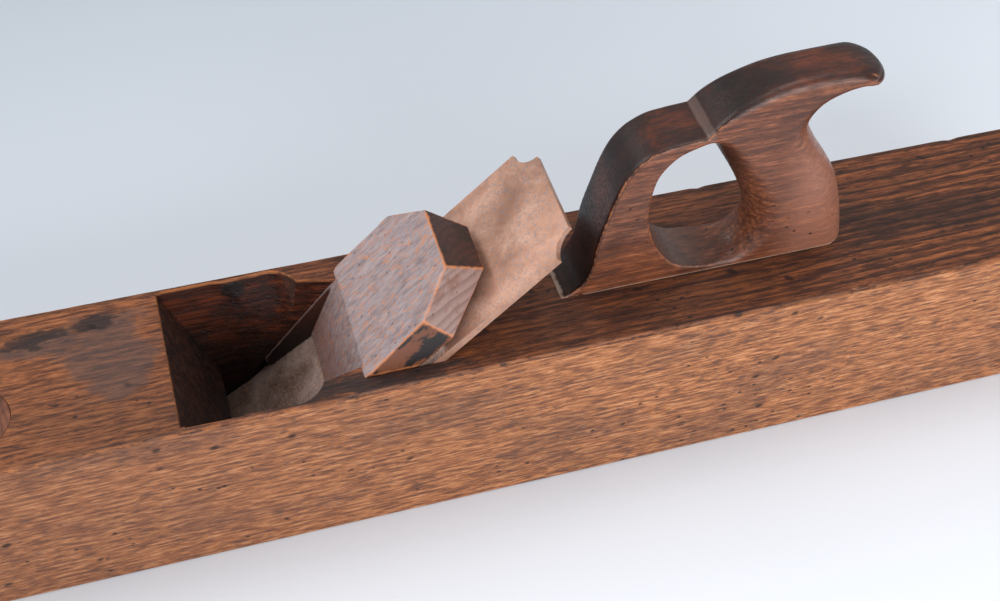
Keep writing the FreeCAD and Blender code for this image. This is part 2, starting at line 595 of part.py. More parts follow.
def make_cap_screw():
    """The cap screw: a flat round head under the cutting iron and a shank up through the cap iron."""
    body = new_body("cap_screw")
    head_top = (f"(-(Sizes.iron_edge_thick - {SCREW_FROM_EDGE} * sin(Sizes.iron_taper))"
                " / cos(Sizes.iron_taper) - Sizes.screw_seat_gap"
                " - Sizes.screw_head_radius * tan(Sizes.iron_taper))")
    head = "Sizes.screw_head_radius"
    shank = "Sizes.screw_radius"
    bottom = f"({head_top} - Sizes.screw_head_thick)"
    broken = "Sizes.screw_head_chamfer"
    blunt = "Sizes.screw_tip_chamfer"
    tip = "(Sizes.cap_thick - Sizes.screw_tip_drop)"
    corners = [("0", bottom), (f"{head} - {broken}", bottom), (head, f"{bottom} + {broken}"),
               (head, head_top), (shank, head_top), (shank, f"{tip} - {blunt}"),
               (f"{shank} - {blunt}", tip), ("0", tip)]
    sketch = add_loop(add_sketch(body, "screw_outline", "XZ_Plane"), corners)
    turned = body.newObject("PartDesign::Revolution", "screw_turned")
    turned.Profile = sketch
    turned.ReferenceAxis = (sketch, ["V_Axis"])
    turned.Angle = 360
    doc.recompute()
    half = "Sizes.driver_width / 2"
    floor = f"({bottom} + Sizes.driver_depth)"
    below = f"({bottom} - {OVERSHOOT})"
    groove = [(f"-{half}", below), (half, below), (half, floor), (f"-{half}", floor)]
    add_pocket(body, add_loop(add_sketch(body, "driver_slot", "XZ_Plane"), groove), "driver_pocket")
    tilt(body, FACE_ANGLE, f"{EDGE_X} + {SCREW_FROM_EDGE} * cos({FACE_ANGLE})",
         f"Sizes.edge_lift + {SCREW_FROM_EDGE} * sin({FACE_ANGLE})")
    return body


# ---- wedge -------------------------------------------------------------------------------------

def make_wedge():
    """The wedge: a chamfered head over two legs, with a bevel between the legs for the shavings."""
    back = "(Sizes.cap_thick + Sizes.wedge_back_gap)"
    leg_angle = f"({ABUTMENT_ANGLE} - {FACE_ANGLE})"
    step_x = f"({ABUTMENT_TOP} - {EDGE_X})"
    step_z = "(Sizes.stock_height - Sizes.edge_lift)"
    step = f"({step_x} * cos({FACE_ANGLE}) + {step_z} * sin({FACE_ANGLE}) + Sizes.wedge_shoulder_lift)"
    rise = (f"({step_z} * cos({FACE_ANGLE}) - {step_x} * sin({FACE_ANGLE})"
            " - Sizes.wedge_gap / cos(Sizes.iron_taper)"
            f" + Sizes.wedge_shoulder_lift * tan({leg_angle}))")
    tip = "Sizes.wedge_tip_run"
    blunt = "Sizes.wedge_tip_chamfer"
    tip_rise = f"({rise} - ({step} - {tip}) * tan({leg_angle}))"
    head_end = f"({step} + Sizes.wedge_head_run)"
    head_rise = f"({rise} + Sizes.wedge_head_run * tan(Sizes.wedge_head_taper))"
    head_back = f"({head_end} + ({head_rise} - {back}) * tan(Sizes.wedge_head_tilt))"
    profile = [(tip, back), (head_back, back), (head_end, head_rise), (step, rise),
               (f"{tip} + {blunt}", f"{tip_rise} + {blunt} * tan({leg_angle})"),
               (tip, f"({tip_rise} + {back}) / 2")]
    side = side_prism("wedge_side", profile, SHOULDER_HALF)

    plan = new_body("wedge_plan")
    corner = f"({step} + Sizes.wedge_corner_run)"
    below = f"({tip} - {OVERSHOOT})"
    head_half = f"({SHOULDER_HALF} - Sizes.wedge_head_in)"
    # The chamfers run on past the front's top corners, to the back of the tilted end.
    chamfer_slope = ("((Sizes.wedge_head_in - Sizes.wedge_corner_in)"
                     " / (Sizes.wedge_head_run - Sizes.wedge_corner_run))")
    crown = f"({head_back} + Sizes.wedge_tip_chamfer)"
    crown_half = f"({head_half} - ({crown} - {head_end}) * {chamfer_slope})"
    halves = [(below, WEDGE_HALF), (f"{step} - {blunt}", SHOULDER_HALF),
              (corner, f"({SHOULDER_HALF} - Sizes.wedge_corner_in)"), (crown, crown_half)]
    outline = [(x, f"-{half}") for x, half in halves] + [(x, half) for x, half in reversed(halves)]
    add_pad(plan, add_loop(add_sketch(plan, "plan_outline", "XY_Plane"), outline), "plan_pad",
            f"2 * {head_rise}")
    head = combine("Part::MultiCommon", "wedge_blank", [side, plan])
    for body in (side, plan):
        tilt(body, FACE_ANGLE, EDGE_X, "Sizes.edge_lift")

    # Only the part above the stock may be as wide as the shoulders.
    envelope = []
    for name, half, low in (("in_slot", WEDGE_HALF, "0"),
                            ("above_stock", SHOULDER_HALF,
                             "Sizes.stock_height + Sizes.wedge_shoulder_lift")):
        block = doc.addObject("Part::Box", name)
        block.setExpression("Length", "Sizes.stock_length")
        block.setExpression("Width", f"2 * {half}")
        block.setExpression("Height", "3 * Sizes.stock_height")
        block.setExpression("Placement.Base.x", "-Sizes.stock_length / 2")
        block.setExpression("Placement.Base.y", f"-{half}")
        block.setExpression("Placement.Base.z", low)
        envelope.append(block)
    allowed = combine("Part::MultiFuse", "wedge_envelope", envelope)
    trimmed = combine("Part::MultiCommon", "wedge_trimmed", [head, allowed])

    # The legs' inner faces are flush with the abutments.
    wide = value(WEDGE_HALF) + OVERSHOOT
    fork = flaring_walls("wedge_fork", [(0, wide), (size("stock_height") + OVERSHOOT, wide)])
    feather = "Sizes.wedge_feather_run"
    bevel = [(below, f"-{OVERSHOOT}"), (feather, f"-{OVERSHOOT}"), (feather, back), (step, rise),
             (below, rise)]
    bevel_side = side_prism("wedge_bevel", bevel, f"({WEDGE_HALF} + {OVERSHOOT})")
    tilt(bevel_side, FACE_ANGLE, EDGE_X, "Sizes.edge_lift")
    opening = combine("Part::MultiCommon", "wedge_opening", [fork, bevel_side])
    wedge = boolean("Part::Cut", "wedge", trimmed, opening)
    wedge.Refine = True
    doc.recompute()
    return wedge


# ---- check and export --------------------------------------------------------------------------

def check_and_write(pieces):
    """Refuse to write anything from a document with a failed object or a bad solid."""
    failed = [item.Name for item in doc.Objects if {"Invalid", "Error"} & set(item.State)]
    if failed:
        raise RuntimeError(f"failed objects: {failed}")
    for piece in pieces:
        shape = piece.Shape
        if shape.isNull() or not shape.isValid() or len(shape.Solids) != 1:
            raise RuntimeError(f"{piece.Label} is not one valid solid")
    os.makedirs("parts", exist_ok=True)
    for piece in pieces:
        piece.Shape.exportStep(f"parts/{piece.Label}.step")
        box = piece.Shape.BoundBox
        print(f"{piece.Label}: {piece.Shape.Volume / 1000:.1f} cm3,"
              f" X {box.XMin:.1f}..{box.XMax:.1f}, Y {box.YMin:.1f}..{box.YMax:.1f},"
              f" Z {box.ZMin:.2f}..{box.ZMax:.1f}")


made = [make_stock(), make_tote(), make_button(), make_wedge(), make_cutting_iron(), make_cap_iron(),
        make_cap_screw()]
doc.recompute()
for node, piece in zip(NODES, made):
    piece.Label = node
check_and_write(made)
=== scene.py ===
"""A long wooden bench plane in old beech, lying on a pale sheet under soft studio light."""
import math

import bmesh
import bpy
import numpy as np
from mathutils import Matrix, Vector, kdtree, noise


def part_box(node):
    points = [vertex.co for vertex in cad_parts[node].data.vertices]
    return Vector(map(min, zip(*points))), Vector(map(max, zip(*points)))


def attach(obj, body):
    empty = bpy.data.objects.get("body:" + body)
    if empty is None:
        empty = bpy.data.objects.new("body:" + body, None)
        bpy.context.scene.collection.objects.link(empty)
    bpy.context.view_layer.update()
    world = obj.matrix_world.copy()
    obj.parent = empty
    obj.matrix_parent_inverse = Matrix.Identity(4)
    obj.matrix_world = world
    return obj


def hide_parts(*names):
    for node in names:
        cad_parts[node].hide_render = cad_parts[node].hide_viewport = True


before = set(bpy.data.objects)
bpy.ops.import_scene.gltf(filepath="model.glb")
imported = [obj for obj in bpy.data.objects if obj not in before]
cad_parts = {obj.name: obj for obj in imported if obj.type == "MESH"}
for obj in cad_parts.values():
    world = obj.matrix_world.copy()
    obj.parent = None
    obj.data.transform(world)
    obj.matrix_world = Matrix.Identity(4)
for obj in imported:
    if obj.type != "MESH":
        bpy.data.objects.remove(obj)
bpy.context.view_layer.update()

MM = 0.001
STOCK_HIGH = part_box("stock")[1]
TOTE_LOW, TOTE_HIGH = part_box("tote")
TOP = STOCK_HIGH.z
HALF_WIDTH = STOCK_HIGH.y
BED_PITCH = math.radians(44)
IRON_PITCH = math.radians(43.2)
THROAT_HALF = 38.3  # millimetres from the middle to just outside the throat's widest place
STEPS = 10  # points in each stretch of a smooth line


# ---- making shapes -----------------------------------------------------------------------------

def only(piece):
    """Select one piece and nothing else."""
    if bpy.context.mode != "OBJECT":
        bpy.ops.object.mode_set(mode="OBJECT")
    bpy.ops.object.select_all(action="DESELECT")
    piece.select_set(True)
    bpy.context.view_layer.objects.active = piece


def editing(piece):
    """Open a piece in edit mode with nothing selected, and return its mesh."""
    only(piece)
    bpy.ops.object.mode_set(mode="EDIT")
    bpy.ops.mesh.select_all(action="DESELECT")
    return bmesh.from_edit_mesh(piece.data)


def done():
    """Leave edit mode."""
    bpy.ops.object.mode_set(mode="OBJECT")


def traced(node, name):
    """A new piece with a CAD node's shape, its loose triangles merged into whole faces."""
    piece = bpy.data.objects.new(name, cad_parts[node].data.copy())
    bpy.context.scene.collection.objects.link(piece)
    piece.data.materials.clear()
    editing(piece)
    bpy.ops.mesh.customdata_custom_splitnormals_clear()
    bpy.ops.mesh.select_all(action="SELECT")
    bpy.ops.mesh.remove_doubles(threshold=0.004 * MM)
    bpy.ops.mesh.dissolve_limited(angle_limit=math.radians(0.3))
    done()
    return piece


def sharp_edges(piece, angle=25):
    """The ends of every outward arris of a piece, as pairs of places."""
    mesh = bmesh.new()
    mesh.from_mesh(piece.data)
    pairs = []
    for edge in mesh.edges:
        if len(edge.link_faces) == 2 and edge.calc_face_angle_signed(0) > math.radians(angle):
            pairs.append([vert.co.copy() for vert in edge.verts])
    mesh.free()
    return pairs


def soften(piece, wanted, width, segments=3):
    """Bevel the outward arrises whose two ends both pass the test."""
    mesh = editing(piece)
    for edge in mesh.edges:
        sharp = len(edge.link_faces) == 2 and edge.calc_face_angle_signed(0) > math.radians(25)
        if sharp and all(wanted(vert.co) for vert in edge.verts):
            edge.select = True
    bmesh.update_edit_mesh(piece.data)
    bpy.ops.mesh.bevel(offset=width, segments=segments, affect="EDGES", clamp_overlap=True)
    done()


def apply_modifier(piece, kind, **settings):
    """Add a modifier, set it and apply it."""
    only(piece)
    modifier = piece.modifiers.new(kind.title(), kind)
    for key, setting in settings.items():
        setattr(modifier, key, setting)
    bpy.ops.object.modifier_apply(modifier=modifier.name)


def remesh(piece, cell):
    """Cover a closed piece with even small faces."""
    apply_modifier(piece, "REMESH", mode="VOXEL", voxel_size=cell, adaptivity=0)


def shade(piece, angle=35):
    """Smooth the shading, apart from edges sharper than this."""
    only(piece)
    bpy.ops.object.shade_smooth_by_angle(angle=math.radians(angle))


def places(piece):
    """All vertex places of a piece as an array."""
    flat = np.empty(len(piece.data.vertices) * 3)
    piece.data.vertices.foreach_get("co", flat)
    return flat.reshape(-1, 3)


def put(piece, spots):
    """Write vertex places back."""
    piece.data.vertices.foreach_set("co", np.asarray(spots, float).ravel())
    piece.data.update()


def mark(piece, name, numbers):
    """Store one number for each vertex under a name that a finish can read."""
    layer = piece.data.attributes.new(name, "FLOAT", "POINT")
    layer.data.foreach_set("value", np.asarray(numbers, np.float32))


def far_from(piece, pairs, step=0.4 * MM):
    """Distance in millimetres of each vertex from the nearest of some straight arrises."""
    samples = []
    for start, finish in pairs:
        count = max(1, int((finish - start).length / step))
        samples += [start.lerp(finish, number / count) for number in range(count + 1)]
    tree = kdtree.KDTree(len(samples))
    for number, sample in enumerate(samples):
        tree.insert(sample, number)
    tree.balance()
    return np.array([tree.find(spot)[2] for spot in places(piece)]) / MM


def wear_down(piece, distance, reach, rounds, factor=0.5):
    """Round a piece off near its arrises, more the nearer they are."""
    group = piece.vertex_groups.new(name="worn")
    for number, away in enumerate(distance):
        weight = 1 - away / reach
        if weight > 0:
            group.add([number], weight, "REPLACE")
    apply_modifier(piece, "SMOOTH", factor=factor, iterations=rounds, vertex_group="worn")
    piece.vertex_groups.clear()


def smooth_line(points, steps=STEPS):
    """Points along a smooth curve through the given ones."""
    points = [Vector(point) for point in points]
    padded = [2 * points[0] - points[1]] + points + [2 * points[-1] - points[-2]]
    line = []
    for before, start, finish, after in zip(padded, padded[1:], padded[2:], padded[3:]):
        for number in range(steps):
            share = number / steps
            squared, cubed = share * share, share ** 3
            line.append(0.5 * (2 * start + (finish - before) * share
                               + (2 * before - 5 * start + 4 * finish - after) * squared
                               + (3 * start - before - 3 * finish + after) * cubed))
    return line + [points[-1]]


# ---- the tote ----------------------------------------------------------------------------------

# Outline of the tote as shares of its length and of its height above the stock, and at each point
# how far in the edge is rounded, in millimetres.
TOTE_FRONT = [(0, 0, 1.2), (0.049, 0.025, 1.2), (0.075, 0.066, 1.4), (0.097, 0.147, 1.6), (0.105, 0.239, 1.7),
              (0.113, 0.32, 1.7), (0.133, 0.437, 1.8), (0.157, 0.564, 1.9), (0.185, 0.661, 2.1),
              (0.226, 0.732, 2.2), (0.283, 0.775, 2.0), (0.34, 0.788, 1.8), (0.419, 0.796, 1.6)]
TOTE_TOP = [(0.419, 0.796, 1.6), (0.455, 0.854, 2.4), (0.505, 0.906, 4.2), (0.563, 0.945, 6.0),
            (0.62, 0.974, 7.4), (0.685, 0.99, 8.2), (0.749, 0.997, 8.5), (0.806, 1, 8.0),
            (0.864, 0.998, 5.8), (0.914, 0.988, 3.8), (0.955, 0.966, 3.0), (0.975, 0.941, 3.2)]
TOTE_TIP = [(0.975, 0.941, 3.2), (0.982, 0.922, 3.5), (0.972, 0.904, 3.8)]
TOTE_BACK = [(0.972, 0.905, 3.8), (0.942, 0.896, 4.6), (0.898, 0.888, 6.0), (0.842, 0.865, 7.8),
             (0.79, 0.812, 10.2), (0.769, 0.72, 11.8), (0.812, 0.59, 13), (0.862, 0.481, 14),
             (0.911, 0.357, 14.5), (0.95, 0.19, 14.5), (0.97, 0.056, 13), (0.976, 0, 12)]
TOTE_HOLE = [(0.487, 0.026, 1.3), (0.393, 0.059, 1.2), (0.328, 0.149, 1.2), (0.285, 0.277, 1.2),
             (0.265, 0.407, 1.3), (0.27, 0.549, 1.3), (0.288, 0.64, 1.3), (0.33, 0.711, 1.5),
             (0.38, 0.742, 2.2), (0.43, 0.737, 5), (0.47, 0.686, 9), (0.509, 0.595, 11), (0.548, 0.498, 12),
             (0.581, 0.407, 12.5), (0.609, 0.31, 12.5), (0.624, 0.224, 12), (0.62, 0.142, 10),
             (0.588, 0.071, 7), (0.541, 0.035, 3.5)]
TENON_INSET = 11 * MM
TENON_DEPTH = 17.8 * MM
NOSE = 15 * MM  # stretch of the horn's end that is round in plan
TOTE_LENGTH = 139.5 * MM
RIDGE = Vector((TOTE_LOW.x + TOTE_TOP[0][0] * TOTE_LENGTH, 0, TOP + TOTE_TOP[0][1] * (TOTE_HIGH.z - TOP)))


def tote_outlines():
    """The tote's outer line and the line of its finger hole, with the rounding as third number."""
    height = TOTE_HIGH.z - TOP - 0.12 * MM

    def laid(points):
        return [(TOTE_LOW.x + x * TOTE_LENGTH, TOP + z * height, rounding * MM) for x, z, rounding in points]

    outer = []
    for part in (TOTE_FRONT, TOTE_TOP, TOTE_TIP, TOTE_BACK):
        outer += smooth_line(laid(part))[:-1]
    outer.append(Vector(laid(TOTE_BACK)[-1]))
    hole = laid(TOTE_HOLE)
    looped = smooth_line(hole[-2:] + hole + hole[:3])
    return outer, looped[2 * STEPS:-2 * STEPS]


def inward(line, closed, centre_side):
    """Unit normals of a line of points in the plane, to its left or right."""
    spots = np.array([(point[0], point[1]) for point in line])
    if closed:
        run = np.roll(spots, -1, 0) - np.roll(spots, 1, 0)
    else:
        run = np.gradient(spots, axis=0)
    run /= np.linalg.norm(run, axis=1)[:, None]
    return np.stack([run[:, 1], -run[:, 0]], 1) * centre_side


def round_over(piece, samples, normals, rounding, reach, half, middle):
    """Roll the edges of a flat board over, each stretch by its own amount."""
    spots = places(piece) - (0, middle, 0)
    flat = spots[:, [0, 2]]
    nearest = np.empty(len(flat), int)
    for start in range(0, len(flat), 4000):
        block = flat[start:start + 4000]
        nearest[start:start + 4000] = ((block[:, None, :] - samples[None]) ** 2).sum(2).argmin(1)
    base = samples[nearest]
    lean = normals[nearest]
    run = np.maximum(((flat - base) * lean).sum(1), 0)
    along = rounding[nearest]
    rise = np.minimum(reach[nearest], half * 0.995)
    below = half - np.abs(spots[:, 1])
    travel = (run + rise - below)
    total = along + rise
    turned = np.clip(travel / total, 0, 1)
    angle = turned * math.pi / 2
    moved = (travel > 0) & (travel < total) & (flat[:, 1] > TOP - 0.5 * MM)
    set_in = along * (1 - np.cos(angle))
    height = half - rise + rise * np.sin(angle)
    result = spots.copy()
    result[moved, 0] = (base + lean * set_in[:, None])[moved, 0]
    result[moved, 2] = (base + lean * set_in[:, None])[moved, 1]
    result[moved, 1] = (np.sign(spots[:, 1]) * height)[moved]
    # The horn's end is round when seen from above.
    nose_start = samples[:, 0].max() - NOSE
    past = np.clip((result[:, 0] - nose_start) / NOSE, 0, 1)
    pulled = past * (1 - np.sqrt(1 - 0.9 * (result[:, 1] / half) ** 2))
    high = flat[:, 1] > TOP + 0.7 * (TOTE_HIGH.z - TOP)
    result[:, 0] -= np.where(high, pulled * NOSE * 0.75, 0)
    put(piece, result + (0, middle, 0))
    away = np.abs(travel - total / 2) / MM
    return np.where(along < 3.6 * MM, away, 40), nearest


def make_tote():
    """The closed tote: a board with a finger hole, rolled over where the hand holds it."""
    half = (TOTE_HIGH.y - TOTE_LOW.y) / 2
    middle = (TOTE_HIGH.y + TOTE_LOW.y) / 2
    outer, hole = tote_outlines()
    heel, toe = outer[-1], outer[0]
    tenon = [(heel[0] - TENON_INSET * 0.7, TOP), (heel[0] - TENON_INSET * 0.7, TOP - TENON_DEPTH),
             (toe[0] + TENON_INSET, TOP - TENON_DEPTH), (toe[0] + TENON_INSET, TOP)]
    rim = [(point[0], point[1]) for point in outer] + tenon
    bore = [(point[0], point[1]) for point in hole]
    mesh = bpy.data.meshes.new("tote_outline")
    corners = [(x, middle - half, z) for x, z in rim + bore]
    first = len(rim)
    edges = [(number, (number + 1) % first) for number in range(first)]
    edges += [(first + number, first + (number + 1) % len(bore)) for number in range(len(bore))]
    mesh.from_pydata(corners, edges, [])
    piece = bpy.data.objects.new("closed_tote", mesh)
    bpy.context.scene.collection.objects.link(piece)
    editing(piece)
    bpy.ops.mesh.select_all(action="SELECT")
    bpy.ops.mesh.fill()
    bpy.ops.mesh.extrude_region_move(TRANSFORM_OT_translate={"value": (0, 2 * half, 0)})
    bpy.ops.mesh.select_all(action="SELECT")
    bpy.ops.mesh.normals_make_consistent(inside=False)
    done()
    remesh(piece, 0.85 * MM)
    line = np.array([(point[0], point[1]) for point in outer + hole])
    leans = np.concatenate([inward(outer, False, 1), inward(hole, True, -1)])
    rounding = np.array([point[2] for point in outer + hole])
    reach = rounding * (1 + np.clip((rounding / MM - 3) / 2, 0, 1))
    ridge = STEPS * (len(TOTE_FRONT) - 1)
    count = STEPS * (len(TOTE_TOP) - 1)
    reach[ridge:ridge + count] = np.interp(np.linspace(0, 1, count), (0, 0.35, 0.8, 1), (1.6, 5, 7, 9)) * MM
    away, nearest = round_over(piece, line, leans, rounding, reach, half, middle)
    apply_modifier(piece, "SMOOTH", factor=0.4, iterations=2)
    mark(piece, "arris", away)
    front = np.zeros(len(line))
    front[:len(outer)] = 1
    underside = STEPS * (len(TOTE_FRONT) + len(TOTE_TOP) + len(TOTE_TIP) - 4)
    front[underside:len(outer)] = 0
    mark(piece, "handled", front[nearest])
    shade(piece, 60)
    return piece


# ---- the stock ---------------------------------------------------------------------------------

# Knocks along the two top arrises: place along the plane, side, half length and depth, in millimetres.
KNOCKS = [(-286, -1, 5, 0.7), (-171, -1, 3, 0.5), (-60, -1, 3.5, 0.6), (11, -1, 4, 0.9), (46, -1, 5, 1.0),
          (88, -1, 3, 0.6), (163, -1, 4, 1.2), (171, -1, 3, 1.0), (214, -1, 5, 1.1), (262, -1, 4, 0.8),
          (300, -1, 4, 1.0), (-250, 1, 4, 0.8), (-30, 1, 5, 0.7), (120, 1, 4, 0.9), (250, 1, 5, 1.0)]
ARRIS_RADIUS = {-1: 2.0 * MM, 1: 1.0 * MM}


def slice_across(piece, spot, direction):
    """Cut every face of a piece along a plane, leaving it whole."""
    bpy.ops.mesh.select_all(action="SELECT")
    bpy.ops.mesh.bisect(plane_co=spot, plane_no=direction, threshold=0.002 * MM)


def make_stock():
    """The stock with rounded, knocked top arrises."""
    piece = traced("stock", "beech_stock")
    editing(piece)
    for side in (-1, 1):
        for inset in (4.5, 3, 2, 1.4, 1, 0.7, 0.4, 0.15):
            slice_across(piece, (0, side * (HALF_WIDTH - inset * MM), 0), (0, 1, 0))
    for drop in (5, 3, 2, 1.4, 1, 0.7, 0.4, 0.15):
        slice_across(piece, (0, 0, TOP - drop * MM), (0, 0, 1))
    stations = set(range(-327, 330, 4))
    for along, side, reach, depth in KNOCKS:
        stations |= {round(along + share * reach, 1) for share in (-1.4, -1, -0.7, -0.4, 0, 0.4, 0.7, 1, 1.4)}
    for station in sorted(stations):
        slice_across(piece, (station * MM, 0, 0), (1, 0, 0))
    done()
    spots = places(piece)
    moved = spots.copy()
    for number, (x, y, z) in enumerate(spots):
        side = math.copysign(1, y)
        radius = ARRIS_RADIUS[side]
        out = abs(y) - (HALF_WIDTH - radius)
        up = z - (TOP - radius)
        if out > 0 and up > 0:
            scale = min(1, radius / math.hypot(out, up))
            y = side * (HALF_WIDTH - radius + out * scale)
            z = TOP - radius + up * scale
        near_y = max(0, 1 - (HALF_WIDTH - abs(y)) / (4.5 * MM))
        near_z = max(0, 1 - (TOP - z) / (5 * MM))
        weight = (near_y * near_z) ** 1.2
        if weight > 0:
            worn = (0.22 * noise.noise(Vector((x * 55, side * 3, 0)))
                    + 0.16 * noise.noise(Vector((x * 260, side * 9, 4))))
            push = (0.24 if side < 0 else 0.1) + worn * (1 if side < 0 else 0.5)
            for along, knock_side, reach, depth in KNOCKS:
                if knock_side == side:
                    push += depth * math.exp(-((x / MM - along) / (0.6 * reach)) ** 2)
            y -= side * push * weight * 0.7 * MM
            z -= push * weight * 0.7 * MM
        moved[number] = (x, y, z)
    put(piece, moved)
    shade(piece, 30)
    return piece


# ---- wedge, irons and button -------------------------------------------------------------------

def make_wedge():
    """The wedge with its arrises worn round by the hammer and the hand."""
    piece = traced("wedge", "beech_wedge")
    arrises = [pair for pair in sharp_edges(piece) if max(spot.z for spot in pair) > TOP - 25 * MM]
    remesh(piece, 0.62 * MM)
    away = far_from(piece, arrises)
    wear_down(piece, away, 3.2, 14)
    mark(piece, "arris", away)
    shade(piece, 60)
    return piece


def make_iron(node, name, width):
    """One plate of the double iron with its arrises just broken."""
    piece = traced(node, name)
    soften(piece, lambda spot: spot.z > 12 * MM, width, 2)
    shade(piece, 30)
    return piece


def make_button():
    """The strike button with a softly worn rim."""
    piece = traced("strike_button", "strike_plug")
    soften(piece, lambda spot: spot.z > TOP - 1 * MM, 0.15 * MM, 2)
    shade(piece, 30)
    return piece


# ---- finishes ----------------------------------------------------------------------------------

def tone(red, green, blue):
    """A colour given as it looks on a screen, 0 to 255, in the shader's own scale."""
    def straight(level):
        level /= 255
        return level / 12.92 if level <= 0.04045 else ((level + 0.055) / 1.055) ** 2.4
    return (straight(red), straight(green), straight(blue), 1)


class Finish:
    """A surface finish under construction, with short names for the nodes it is made from."""

    def __init__(self, name, roughness, metallic=0.0, specular=0.5):
        self.material = bpy.data.materials.new(name)
        self.material.use_nodes = True
        self.tree = self.material.node_tree
        self.shader = self.tree.nodes["Principled BSDF"]
        self.shader.inputs["Metallic"].default_value = metallic
        self.shader.inputs["Roughness"].default_value = roughness
        self.shader.inputs["Specular IOR Level"].default_value = specular
        self.here = self.node("ShaderNodeTexCoord").outputs["Object"]

    def node(self, kind, **settings):
        made = self.tree.nodes.new(kind)
        for key, setting in settings.items():
            setattr(made, key, setting)
        return made

    def join(self, source, socket):
        """Link an output, or set a plain value."""
        if hasattr(source, "is_output"):
            self.tree.links.new(source, socket)
        else:
            socket.default_value = source

    def place(self, source, scale=(1, 1, 1), turn=(0, 0, 0), shift=(0, 0, 0)):
        made = self.node("ShaderNodeMapping")
        self.join(source, made.inputs["Vector"])
        made.inputs["Scale"].default_value = scale
        made.inputs["Rotation"].default_value = turn
        made.inputs["Location"].default_value = shift
        return made.outputs["Vector"]

    def grain(self, turn=(0, 0, 0), shift=(0, 0, 0)):
        """Millimetres along and across the grain."""
        return self.place(self.here, (1000, 1000, 1000), turn, shift)

    def cloud(self, where, scale=(1, 1, 1), detail=3, rough=0.55, twist=0.0):
        made = self.node("ShaderNodeTexNoise")
        self.join(self.place(where, scale), made.inputs["Vector"])
        made.inputs["Scale"].default_value = 1
        made.inputs["Detail"].default_value = detail
        made.inputs["Roughness"].default_value = rough
        made.inputs["Distortion"].default_value = twist
        return made.outputs["Fac"]

    def cells(self, where, scale=(1, 1, 1)):
        made = self.node("ShaderNodeTexVoronoi")
        self.join(self.place(where, scale), made.inputs["Vector"])
        made.inputs["Scale"].default_value = 1
        return made.outputs["Distance"]

    def sums(self, operation, first, second=0.0, third=0.0):
        made = self.node("ShaderNodeMath", operation=operation)
        for socket, source in zip(made.inputs, (first, second, third)):
            self.join(source, socket)
        return made.outputs[0]

    def between(self, source, low, high, bottom=0.0, top=1.0):
        """Move a range of values onto another, smoothly and without passing its ends."""
        made = self.node("ShaderNodeMapRange", interpolation_type="SMOOTHSTEP")
        for socket, setting in zip(made.inputs, (source, low, high, bottom, top)):
            self.join(setting, socket)
        return made.outputs[0]

    def blend(self, share, first, second):
        made = self.node("ShaderNodeMix", data_type="RGBA")
        self.join(share, made.inputs["Factor"])
        self.join(first, made.inputs[6])
        self.join(second, made.inputs[7])
        return made.outputs[2]

    def shades(self, source, stops):
        made = self.node("ShaderNodeValToRGB")
        self.join(source, made.inputs["Fac"])
        points = made.color_ramp.elements
        while len(points) < len(stops):
            points.new(0.5)
        for point, (position, colour) in zip(points, stops):
            point.position = position
            point.color = colour
        return made.outputs["Color"]

    def axes(self, source):
        made = self.node("ShaderNodeSeparateXYZ")
        self.join(source, made.inputs[0])
        return made.outputs

    def facing(self):
        """How far the surface faces along each of the piece's own axes."""
        return self.axes(self.node("ShaderNodeTexCoord").outputs["Normal"])

    def stored(self, name):
        return self.node("ShaderNodeAttribute", attribute_name=name).outputs["Fac"]

    def patch(self, where, centre, reach, ragged=0.7, grainy=(0.05, 0.09, 0.09)):
        """A ragged patch: 1 at its middle and 0 past its reach along each axis."""
        made = self.node("ShaderNodeVectorMath", operation="LENGTH")
        self.join(self.place(where, [1 / far for far in reach],
                             shift=[-spot / far for spot, far in zip(centre, reach)]), made.inputs[0])
        edge = self.sums("MULTIPLY_ADD", self.cloud(where, grainy, 5, 0.65), ragged * 2, -ragged)
        return self.between(self.sums("ADD", made.outputs["Value"], edge), 1.0, 0.55)

    def line(self, where, radians, size, thin=0.05):
        """Long fine scratches running one way."""
        return self.between(self.cells(self.place(where, turn=radians), size), thin, thin * 0.4)

    def relief(self, height, depth):
        """Bump from a height of 0 to 1 standing for a real depth."""
        made = self.node("ShaderNodeBump")
        made.inputs["Strength"].default_value = 1
        made.inputs["Distance"].default_value = depth
        self.join(height, made.inputs["Height"])
        return made.outputs["Normal"]

    def close(self, colour, roughness=None, normal=None):
        self.join(colour, self.shader.inputs["Base Color"])
        if roughness is not None:
            self.join(roughness, self.shader.inputs["Roughness"])
        if normal is not None:
            self.join(normal, self.shader.inputs["Normal"])
        return self.material


